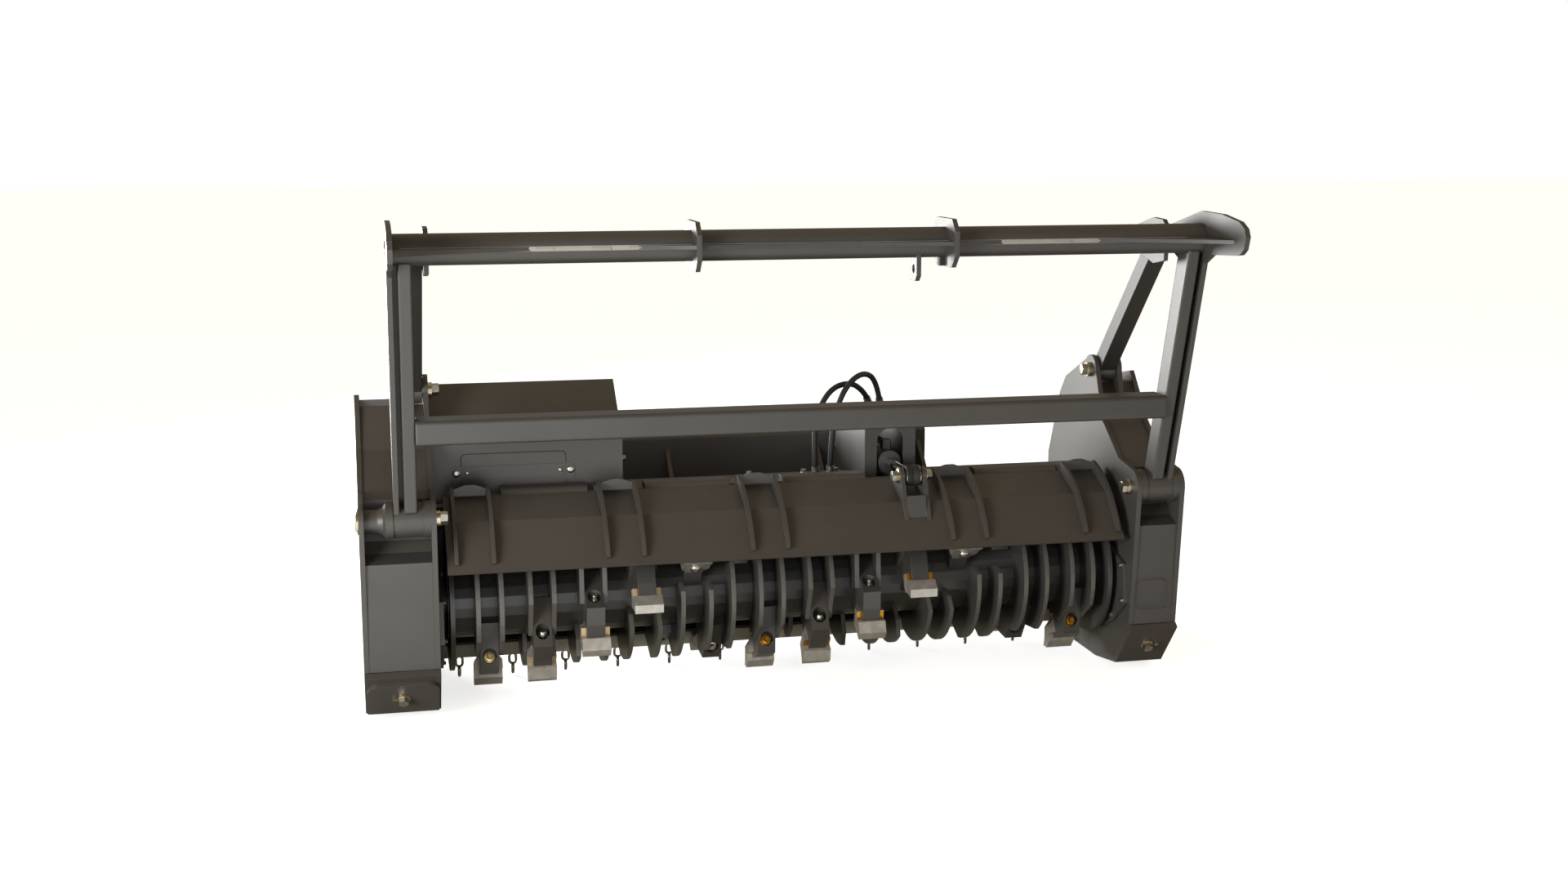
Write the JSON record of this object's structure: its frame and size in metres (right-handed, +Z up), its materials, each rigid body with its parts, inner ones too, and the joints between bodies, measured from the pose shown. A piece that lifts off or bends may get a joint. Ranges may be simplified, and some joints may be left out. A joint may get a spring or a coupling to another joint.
{
  "type": "front mount forestry mulcher head",
  "caption": "Front-mounted mulching head with a toothed full-width rotor, hinged hood, push frame, skid shoes and a rear chain curtain.",
  "frame": {"origin": "on the ground under the middle of the machine", "axes": "+X along the rotor to the right seen from the front, -Y to the front where the push frame points, +Z up"},
  "size_m": [2.219, 1.1975, 1.297],
  "materials": {
    "frame_paint": "satin dark grey paint",
    "rotor_paint": "satin dark grey paint",
    "tooth_steel": "ground tool steel",
    "hose_rubber": "smooth black rubber",
    "chrome_rod": "polished chrome",
    "zinc": "zinc plated",
    "chain_steel": "bright plain steel"
  },
  "bodies": {
    "housing": {"access_panel": "frame_paint", "barrel_pin": "zinc", "brace_eyes": "frame_paint", "chain_curtain": "chain_steel", "chain_rail": "frame_paint", "cylinder_tower": "frame_paint", "deck_cover_plate": "frame_paint", "drive_cover": "frame_paint", "drive_cover_end": "frame_paint", "hanger_tab": "frame_paint", "hinge_knuckles": "frame_paint", "hinge_rod": "zinc", "hitch_plate": "frame_paint", "hitch_ribs": "frame_paint", "hose_a": "hose_rubber", "hose_b": "hose_rubber", "hose_fittings": "zinc", "pivot_bosses": "frame_paint", "pivot_spacers": "frame_paint", "push_frame_braces": "frame_paint", "push_frame_crossbar": "frame_paint", "push_frame_end_plates": "frame_paint", "push_frame_fin": "frame_paint", "push_frame_gussets": "frame_paint", "push_frame_pins": "zinc", "push_frame_top_tube": "frame_paint", "push_frame_uprights": "frame_paint", "rear_lugs": "frame_paint", "rotor_bearing_left": "frame_paint", "rotor_bearing_right": "frame_paint", "rotor_housing": "frame_paint", "side_box_cover_left": "frame_paint", "side_box_cover_right": "frame_paint", "side_plate_left_inner": "frame_paint", "side_plate_left_outer": "frame_paint", "side_plate_right_inner": "frame_paint", "side_plate_right_outer": "frame_paint", "skid_shoe_left": "frame_paint", "skid_shoe_right": "frame_paint", "skid_wear_pad": "frame_paint"},
    "rotor": {"rotor_drum": "rotor_paint", "bite_limiters": "rotor_paint", "tooth_holders": "rotor_paint", "teeth": "tooth_steel", "rotor_end_discs": "rotor_paint"},
    "hood": {"hood_plate": "frame_paint", "hood_ribs": "frame_paint", "hood_knuckles": "frame_paint", "hood_clevis": "frame_paint", "clevis_pin": "zinc"},
    "hood_cylinder_barrel": {"cylinder_barrel": "frame_paint"},
    "hood_cylinder_rod": {"cylinder_rod": "chrome_rod"}
  },
  "joints": [
    {"name": "rotor_spin", "type": "hinge", "parent": "housing", "child": "rotor", "pos_m": [0.0265, 0.065, 0.27], "axis": [1, 0, 0], "continuous": true},
    {"name": "hood_hinge", "type": "hinge", "parent": "housing", "child": "hood", "pos_m": [0.0265, 0.047, 0.548], "axis": [-1, 0, 0], "range_deg": [0, 35]},
    {"name": "cylinder_swing", "type": "hinge", "parent": "housing", "child": "hood_cylinder_barrel", "pos_m": [0.366, 0.49, 0.572], "axis": [-1, 0, 0], "range_deg": [0, 12]},
    {"name": "cylinder_slide", "type": "slide", "parent": "hood_cylinder_barrel", "child": "hood_cylinder_rod", "axis": [0, 0.9999, -0.0109], "range_m": [0, 0.05]}
  ],
  "couplings": [
    {"joint": "cylinder_swing", "follows": "hood_hinge", "ratio": 0.17898},
    {"joint": "cylinder_slide", "follows": "hood_hinge", "m_per_rad": 0.0493}
  ]
}
